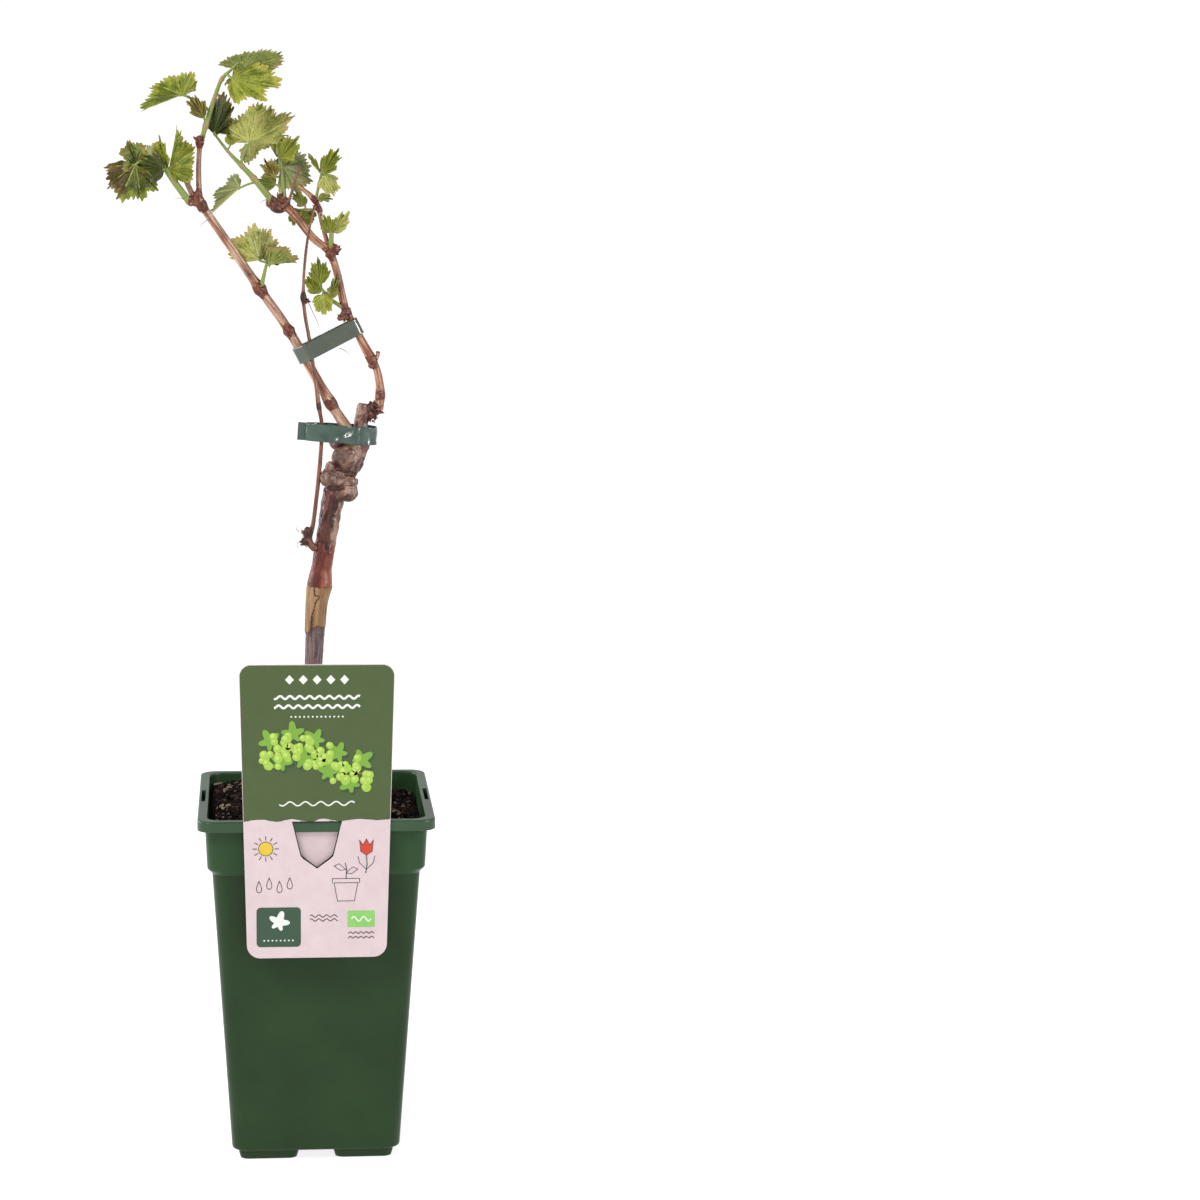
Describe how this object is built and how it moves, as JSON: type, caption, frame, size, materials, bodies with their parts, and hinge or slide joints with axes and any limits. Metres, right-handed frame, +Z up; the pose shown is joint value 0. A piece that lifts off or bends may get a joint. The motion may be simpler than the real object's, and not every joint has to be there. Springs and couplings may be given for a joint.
{
  "type": "potted grapevine",
  "caption": "Young grapevine in a deep square nursery pot: a pruned leaning trunk, canes held with tape, fresh toothed leaves and a card hung on the rim.",
  "frame": {"origin": "middle of the pot's underside, on the flat face of its round centre foot, at the level that the feet stand on", "axes": "+Z up; the card hangs on the -Y side, which is the front; +X to the right of someone who faces the card"},
  "size_m": [0.1917, 0.1411, 0.6617],
  "materials": {
    "pot": "dark green moulded plastic, satin",
    "soil": "coarse dark peat and bark, matt",
    "card": "printed plastic card, semi-gloss",
    "bark": "fissured, peeling bark, matt",
    "cane": "smooth ripe cane with fine stripes",
    "shoot": "thin dark shoot, matt",
    "stub": "dry, matt",
    "tape": "soft plastic tape, satin",
    "leaf": "young leaf, slightly glossy"
  },
  "bodies": {
    "root": {"pot": "pot", "soil": "soil", "card": "card", "trunk": "bark", "left_cane": "cane", "fork_limb": "cane", "fork_stub": "cane", "right_cane_lower": "cane", "right_cane_upper": "cane", "side_branch": "cane", "dry_stub": "stub", "thin_shoot": "shoot", "upper_tie": "tape", "lower_tie": "tape", "foliage_left": "leaf", "foliage_top": "leaf", "foliage_centre": "leaf", "foliage_middle": "leaf", "foliage_right": "leaf", "foliage_under": "leaf", "foliage_bud": "leaf", "foliage_low": "leaf", "foliage_cane": "leaf"}
  },
  "joints": []
}
